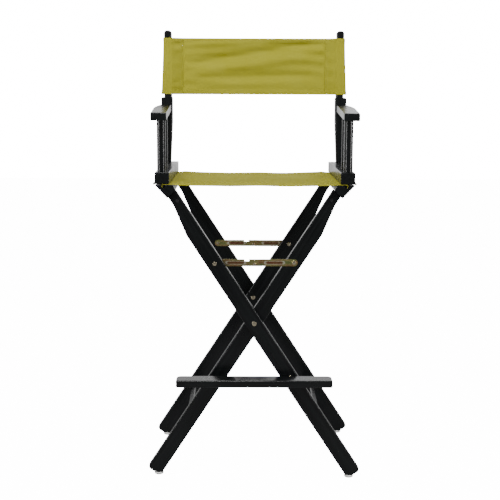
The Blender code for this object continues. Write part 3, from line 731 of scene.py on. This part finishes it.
class CHAIR_OT_seat(bpy.types.Operator):
    """Builds the seat canvas, its hems and its stitches."""

    bl_idname = "chair.seat"
    bl_label = "Seat Canvas"

    def execute(self, context):
        settings = context.scene.chair_canvas
        x, z = seat_section()
        across = hemmed_steps(2 * SEAT_HALF_Y, settings.hem, 64)
        edge = np.minimum(across, 2 * SEAT_HALF_Y - across)[None, :]
        y = across - SEAT_HALF_Y + SHIFT_Y
        risen = z[:, None] + self.rise(settings, x, y, edge)
        points = np.stack(np.broadcast_arrays(x[:, None], y[None, :], risen), axis=-1)
        thick = np.broadcast_to(hem_thickness(edge, settings.hem), points.shape[:2])
        on_rail = np.clip((np.abs(x) - PRESSED_X) / PRESSED_RUN, 0, 1)[:, None]
        pressed = np.minimum(thick, CLOTH * PRESSED_LAYERS)
        thick = np.where(on_rail > 0, thick + on_rail * (pressed - thick), thick)
        canvas = material("olive_canvas", canvas_material, settings)
        seat, normal = cloth("seat_canvas_cloth", points, thick, canvas)
        shown = np.abs(x) < STITCHED_X
        lines = []
        for column in hem_lines(across, settings.hem):
            face = normal[shown, column]
            face = face * np.sign(face[:, 2:3])
            lines += both_faces(points[shown, column], face, thick[shown, column])
        thread = material("olive_thread", thread_material, settings)
        stitches = stitch_rows("seat_canvas_stitches", lines, thread)
        for piece in (seat, stitches):
            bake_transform(piece)
        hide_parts("seat_canvas")
        return {"FINISHED"}

    def rise(self, settings, x, y, edge):
        """How far the cloth lies over its level: pull wrinkles at the rails and hems, less the sag.

        With q the share of the way in from a rail, the sag is seat_sag*(1 - (1 - q)**2), a little less at
        the hems.
        """
        draw = np.random.default_rng(SEAT_SEED)
        inside = np.clip(1.0 - (np.abs(x) / RAIL_INNER_X), 0.0, 1.0)[:, None]
        free = 1.0 - (1.0 - inside) ** 2
        dip = settings.seat_sag * free * (0.86 + 0.14 * np.clip(edge / 0.06, 0, 1))
        distance = (RAIL_INNER_X - np.abs(x)).clip(0)[:, None]
        pull = ripples(draw, y[None, :], distance, count=7, spacing=0.030, reach=0.045)
        broad = ripples(draw, x[:, None], edge, count=3, spacing=0.16, reach=0.09)
        lift = 0.55 * settings.wrinkle * pull + 0.35 * settings.wrinkle * broad
        return lift * np.clip(distance / 0.012, 0, 1) - dip


def filleted(corners, radii, steps=7):
    """Points along a path whose inner corners are turned into arcs of the given radii."""
    corners = np.asarray(corners, float)
    path = [corners[0]]
    for before, corner, after, radius in zip(corners, corners[1:], corners[2:], radii):
        one, two = unit(before - corner), unit(after - corner)
        turn = math.acos(float(np.clip(one @ two, -1, 1)))
        reach = radius / math.tan(turn / 2)
        centre = corner + unit(one + two) * radius / math.sin(turn / 2)
        start, end = corner + one * reach - centre, corner + two * reach - centre
        for share in np.linspace(0, 1, steps):
            angle = share * (math.pi - turn)
            swung = start * math.sin(math.pi - turn - angle) + end * math.sin(angle)
            path.append(centre + swung / math.sin(math.pi - turn))
    path.append(corners[-1])
    return np.array(path)


def resampled(path, spacing):
    """Points evenly spread along a path."""
    run = np.concatenate([[0], np.cumsum(np.linalg.norm(np.diff(path, axis=0), axis=1))])
    at = np.linspace(0, run[-1], int(run[-1] / spacing) + 1)
    return np.stack([np.interp(at, run, path[:, k]) for k in range(path.shape[1])], axis=1)


class CHAIR_OT_back(bpy.types.Operator):
    """Builds the back canvas: the panel, a sleeve round each post, and their seams."""

    bl_idname = "chair.back"
    bl_label = "Back Canvas"

    def execute(self, context):
        settings = context.scene.chair_canvas
        canvas = material("olive_canvas", canvas_material, settings)
        thread = material("olive_thread", thread_material, settings)
        height = BACK_HIGH - BACK_LOW
        up = hemmed_steps(height, settings.hem, 52)
        edge = np.minimum(up, height - up)
        thick_up = hem_thickness(edge, settings.hem)
        draw = np.random.default_rng(BACK_SEED)
        x = np.linspace(-SEAM_X, SEAM_X, 150)
        y = self.panel_y(settings, draw, x, up, edge)
        points = np.stack(np.broadcast_arrays(x[:, None], y, (BACK_LOW + up)[None, :]), axis=-1)
        thick = np.broadcast_to(thick_up, points.shape[:2])
        panel, normal = cloth("back_canvas_panel", points, thick, canvas)
        lines = []
        for column in hem_lines(up, settings.hem):
            face = normal[:, column] * np.sign(normal[:, column, 1:2])
            lines += both_faces(points[:, column], face, thick[:, column])
        hems = stitch_rows("back_canvas_stitches", lines, thread)
        for piece in (panel, hems):
            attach(piece, "arm_left")
            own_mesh(piece)
        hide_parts("back_canvas")
        for side, name in ((-1, "left"), (1, "right")):
            self.sleeve(side, name, up, thick_up, draw, canvas, thread)
        return {"FINISHED"}

    def panel_y(self, settings, draw, x, up, edge):
        """Y of the panel: a shallow bow, pull wrinkles from both seams, and the broad folds.

        A fold is depth*exp(-((z - level - tilt*x)/width)**2)*exp(-((x - place)/reach)**2).
        """
        x, up, edge = x[:, None], up[None, :], edge[None, :]
        distance = SEAM_X - np.abs(x)
        pull = np.where(
            x < 0,
            ripples(draw, BACK_LOW + up, distance, count=6, spacing=0.026, reach=0.055),
            ripples(draw, BACK_LOW + up, distance, count=6, spacing=0.024, reach=0.060),
        )
        folds = sum(
            depth * np.exp(-(((up - level - tilt * x) / width) ** 2))
            * np.exp(-(((x - place) / reach) ** 2))
            for depth, level, tilt, place, width, reach in BACK_FOLDS
        )
        bow = BACK_BOW * (1 - (x / SEAM_X) ** 2) * (0.5 + 0.5 * np.clip(edge / 0.05, 0, 1))
        fade_in = np.clip(distance / 0.010, 0, 1)
        calm = np.clip(edge / 0.014, 0.12, 1.0)
        waves = settings.wrinkle * pull + folds * np.clip(distance / 0.05, 0, 1)
        return BACK_Y - PANEL_AHEAD + bow + fade_in * calm * waves

    def sleeve(self, side, name, up, thick_up, draw, canvas, thread):
        """One sleeve: a loop in plan from the seam, round the post and back to the seam, swept up the post.

        It widens downwards by FLARE*(1 - height share)**1.3.
        """
        margin = POST_GAP + CLOTH
        low, high = POST_X - POST_WIDTH / 2, POST_X + POST_WIDTH / 2 + margin
        near, far = -POST_DEPTH / 2 - margin, POST_DEPTH / 2 + margin
        corners = [
            (SEAM_X + 0.0002, -0.0008), (low, near), (high, near), (high, far), (low, far),
            (SEAM_X + 0.0024, 0.0022), (SEAM_X + 0.0002, 0.0020),
        ]
        path = resampled(filleted(corners, (0.010, 0.0050, 0.0050, 0.010, 0.004)), 0.0011)
        share = np.clip((path[:, 0] - FLARE_X) / (high - FLARE_X), 0, 1)
        share = share * share * (3 - 2 * share)
        flare = FLARE * (1 - up / up[-1]) ** 1.3
        x = side * (path[:, :1] + share[:, None] * flare[None, :])
        z = BACK_LOW + up
        inward = np.clip(1 - share, 0, 1)[:, None]
        loose = np.sin(np.pi * np.clip((path[:, 0] - SEAM_X) / (low - SEAM_X), 0, 1))[:, None] * inward
        distance = np.clip(path[:, :1] - SEAM_X, 0, 1)
        pull = ripples(draw, z[None, :], distance, count=5, spacing=0.030, reach=0.060)
        front = np.where(path[:, 1:2] < 0, -1.0, 1.0)
        y = BACK_Y + path[:, 1:2] + front * loose * (0.0012 * pull + 0.0006)
        points = np.stack(np.broadcast_arrays(x, y, z[None, :]), axis=-1)
        thick = np.broadcast_to(thick_up, points.shape[:2])
        cover, normal = cloth(f"back_canvas_sleeve_{name}", points, thick, canvas)
        lines = []
        shown = (up > 0.002) & (up < up[-1] - 0.002)
        for out in SEAM_ROWS:
            for layer in (-1, 1):
                rows = np.flatnonzero(np.sign(path[:, 1]) == layer)
                row = rows[int(np.argmin(np.abs(path[rows, 0] - SEAM_X - out)))]
                face = normal[row, shown] * np.sign(normal[row, shown, 1:2]) * layer
                lines.append((points[row, shown] + face * thick[row, shown, None] / 2, face))
        seams = stitch_rows(f"back_canvas_seams_{name}", lines, thread)
        for piece in (cover, seams):
            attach(piece, f"arm_{name}")


# Wood and fittings


class CHAIR_OT_wood(bpy.types.Operator):
    """Gives every wooden piece its lacquer, grain and eased edges."""

    bl_idname = "chair.wood"
    bl_label = "Wood"

    def execute(self, context):
        settings = context.scene.chair_wood
        lacquer = material("black_lacquer", wood_material, settings)
        for node in WOOD_NODES:
            bevel = settings.bevel if node.startswith(ROUNDED_NODES) else 0.0
            finished_copy(node, lacquer, bevel)
        return {"FINISHED"}


class CHAIR_OT_fittings(bpy.types.Operator):
    """Finishes the stays, hinges, rivets, bolts, glides and nuts, and adds what is stamped or screwed on."""

    bl_idname = "chair.fittings"
    bl_label = "Fittings"

    def execute(self, context):
        settings = context.scene.chair_fittings
        zinc = material("zinc_plating", zinc_material, settings)
        steel = material("plated_steel", steel_material, settings)
        white = material("glide_plastic", plastic_material, "glide_plastic", tuple(settings.plastic), 0.42)
        nylon = material("nut_nylon", plastic_material, "nut_nylon", (0.010, 0.010, 0.011), 0.38)
        for nodes, look, slot in (
            (ZINC_NODES, zinc, "yellow_zinc"), (STEEL_NODES, steel, "nickel_steel"),
            (PLASTIC_NODES, white, "white_plastic"), (NYLON_NODES, nylon, "black_nylon"),
        ):
            for node in nodes:
                finished_copy(node, look)
        for end in ("front", "rear"):
            for kind in STAMP_X:
                self.embossing(kind, end, zinc)
        for end in HINGE_YS:
            for side, name in ((-1, "left"), (1, "right")):
                for leaf in ("upper", "lower"):
                    for order, along in enumerate((-SCREW_SPREAD, SCREW_SPREAD)):
                        self.screw(leaf, end, side, name, order, HINGE_YS[end] + along, steel)
        return {"FINISHED"}

    def embossing(self, kind, end, look):
        """A long slot stamped in the front of a stay link, low enough for the folded links to pass the legs.

        In plan a stadium. At share q from its middle to its edge it stands
        STAMP_RIM*exp(-((q - STAMP_RIM_SHARE)/0.09)**2) + STAMP_DISH*(1 - q*q) off the link.
        """
        node = f"stay_link_{kind}_{end}"
        corner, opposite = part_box(node)
        middle_z = (corner[2] + opposite[2]) / 2
        turns = np.linspace(0, math.tau, 48, endpoint=False)
        shares = np.concatenate([np.linspace(0.0, 0.6, 4), np.linspace(0.66, 1.0, 12)])
        from_rim = shares - STAMP_RIM_SHARE
        height = STAMP_RIM * np.exp(-((from_rim / 0.09) ** 2)) + STAMP_DISH * (1 - shares ** 2)
        height[-1] -= STAMP_SUNK
        dish = 1.0 / (1.0 + np.exp((shares - STAMP_DISH_SHARE) / 0.02))
        # The rim mask marks where the zinc gets its painted highlight. It travels beside the dish's own red.
        rim = np.exp(-((from_rim / 0.10) ** 2))
        dish_tint_rim_highlight = np.repeat(np.stack([dish, rim, 0 * shares], axis=1), len(turns), axis=0)
        reach = np.sign(np.cos(turns)) * STAMP_STRAIGHT + STAMP_RADIUS * np.cos(turns)
        x = STAMP_X[kind] + shares[:, None] * reach[None, :]
        z = middle_z + shares[:, None] * STAMP_RADIUS * np.sin(turns)[None, :]
        face = corner[1] - height[:, None] + 0 * x
        stamped = mesh_from(
            f"stay_slot_{kind}_{end}", np.stack([x, face, z], axis=-1),
            grid_quads(len(shares), len(turns), wrap=True), look, {"slot": dish_tint_rim_highlight},
        )
        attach(stamped, body_of_node(node))

    def screw(self, leaf, end, side, name, order, y, look):
        """A domed screw head in a hinge's leaf: the upper leaf stands upright and the lower one slopes."""
        made = spun(f"hinge_screw_{leaf}_{end}_{name}_{order}", SCREW_PROFILE, 20, look)
        if leaf == "upper":
            body = f"arm_{name}"
            place = (side * UPPER_LEAF_X, y, UPPER_SCREW_Z)
            turn = Matrix.Rotation(side * math.pi / 2, 4, "Y")
        else:
            body = f"{name}_frame"
            slope_x, slope_z = math.cos(LEAF_SLOPE), math.sin(LEAF_SLOPE)
            x = RAIL_CORNER[0] - LOWER_SCREW_REACH * slope_x + LOWER_LEAF_OUT * slope_z
            z = RAIL_CORNER[1] - LOWER_SCREW_REACH * slope_z - LOWER_LEAF_OUT * slope_x
            place = (side * x, y, z)
            turn = Matrix.Rotation(side * (math.pi - LEAF_SLOPE), 4, "Y")
        made.data.transform(Matrix.Translation(place) @ turn)
        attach(made, body)


# Stage


class CHAIR_OT_stage(bpy.types.Operator):
    """Sets the floor, the studio lights, the world and the camera."""

    bl_idname = "chair.stage"
    bl_label = "Stage"

    def execute(self, context):
        settings = context.scene.chair_stage
        self.floor(settings)
        context.scene.world = self.world(settings)
        for name, place, size, share in LIGHTS:
            self.light(context, name, place, size, share * settings.light)
        camera = bpy.data.objects.new("camera", bpy.data.cameras.new("camera"))
        context.scene.collection.objects.link(camera)
        camera.data.lens = settings.lens
        camera.data.sensor_width = SENSOR_WIDTH
        camera.data.dof.use_dof = False
        turn = Matrix.Rotation(CAMERA_YAW, 4, "Z") @ Matrix.Rotation(math.pi / 2 + CAMERA_PITCH, 4, "X")
        camera.matrix_world = Matrix.Translation(CAMERA_PLACE) @ turn @ Matrix.Rotation(CAMERA_ROLL, 4, "Z")
        context.scene.camera = camera
        return {"FINISHED"}

    def floor(self, settings):
        """A plain floor that the camera sees as white. What it lights and reflects is dimmer."""
        made, nodes, shader = new_material("studio_floor")
        shader.inputs["Base Color"].default_value = (*settings.floor, 1.0)
        shader.inputs["Roughness"].default_value = 0.9
        shader.inputs["Specular IOR Level"].default_value = 0.1
        shader.inputs["Emission Color"].default_value = (1.0, 1.0, 1.0, 1.0)
        seen = nodes.add("ShaderNodeLightPath").outputs["Is Camera Ray"]
        nodes.link(nodes.math("MULTIPLY", seen, settings.backdrop), shader.inputs["Emission Strength"])
        mesh = bpy.data.meshes.new("studio_floor")
        half = FLOOR_HALF
        corners = [(-half, -half, 0), (half, -half, 0), (half, half, 0), (-half, half, 0)]
        mesh.from_pydata(corners, [], [(0, 1, 2, 3)])
        floor = linked("studio_floor", mesh, made)

    def world(self, settings):
        """White for the camera. What the chair reflects is dim in front and bright low down behind it."""
        world = bpy.data.worlds.new("studio")
        world.use_nodes = True
        nodes = Nodes(world.node_tree)
        split = nodes.add("ShaderNodeSeparateXYZ")
        nodes.link(nodes.add("ShaderNodeTexCoord").outputs["Generated"], split.inputs[0])
        behind = nodes.span(split.outputs["Y"], -0.1, 0.85, 0.20, 1.0)
        low = nodes.span(split.outputs["Z"], 0.0, 0.75, 1.0, 0.45)
        around = nodes.math("MULTIPLY", nodes.math("MULTIPLY", behind, low), settings.around)
        seen = nodes.add("ShaderNodeLightPath").outputs["Is Camera Ray"]
        strength = nodes.math("MULTIPLY_ADD", seen, settings.backdrop, around)
        background = world.node_tree.nodes["Background"]
        background.inputs["Color"].default_value = (1.0, 1.0, 1.0, 1.0)
        nodes.link(strength, background.inputs["Strength"])
        return world

    def light(self, context, name, place, size, power):
        """A soft rectangular light at a place, turned towards the chair."""
        lamp = bpy.data.lights.new(name, "AREA")
        lamp.shape = "RECTANGLE"
        lamp.size, lamp.size_y = size
        lamp.energy = power
        made = bpy.data.objects.new(name, lamp)
        context.scene.collection.objects.link(made)
        turn = (LIGHT_AIM - Vector(place)).to_track_quat("-Z", "Y").to_matrix().to_4x4()
        made.matrix_world = Matrix.Translation(place) @ turn


class CHAIR_PT_panel(bpy.types.Panel):
    """Lists the chair's settings and builders."""

    bl_idname = "CHAIR_PT_panel"
    bl_label = "Director Chair"
    bl_space_type = "VIEW_3D"
    bl_region_type = "UI"
    bl_category = "Chair"

    def draw(self, context):
        for label, settings, operator in (
            ("Wood", context.scene.chair_wood, "chair.wood"),
            ("Canvas", context.scene.chair_canvas, "chair.seat"),
            ("Fittings", context.scene.chair_fittings, "chair.fittings"),
            ("Stage", context.scene.chair_stage, "chair.stage"),
        ):
            box = self.layout.box()
            box.label(text=label)
            for key in settings.__class__.__annotations__:
                box.prop(settings, key)
            box.operator(operator)
        self.layout.operator("chair.back")


CLASSES = (
    WoodSettings, CanvasSettings, FittingSettings, StageSettings, CHAIR_OT_wood, CHAIR_OT_seat,
    CHAIR_OT_back, CHAIR_OT_fittings, CHAIR_OT_stage, CHAIR_PT_panel,
)
GROUPS = {
    "chair_wood": WoodSettings, "chair_canvas": CanvasSettings, "chair_fittings": FittingSettings,
    "chair_stage": StageSettings,
}


def register():
    for each in CLASSES:
        bpy.utils.register_class(each)
    for name, settings in GROUPS.items():
        setattr(bpy.types.Scene, name, bpy.props.PointerProperty(type=settings))


def unregister():
    for name in GROUPS:
        delattr(bpy.types.Scene, name)
    for each in reversed(CLASSES):
        bpy.utils.unregister_class(each)


def main():
    register()
    bpy.ops.chair.wood()
    bpy.ops.chair.seat()
    bpy.ops.chair.back()
    bpy.ops.chair.fittings()
    bpy.ops.chair.stage()


if __name__ == "__main__":
    main()
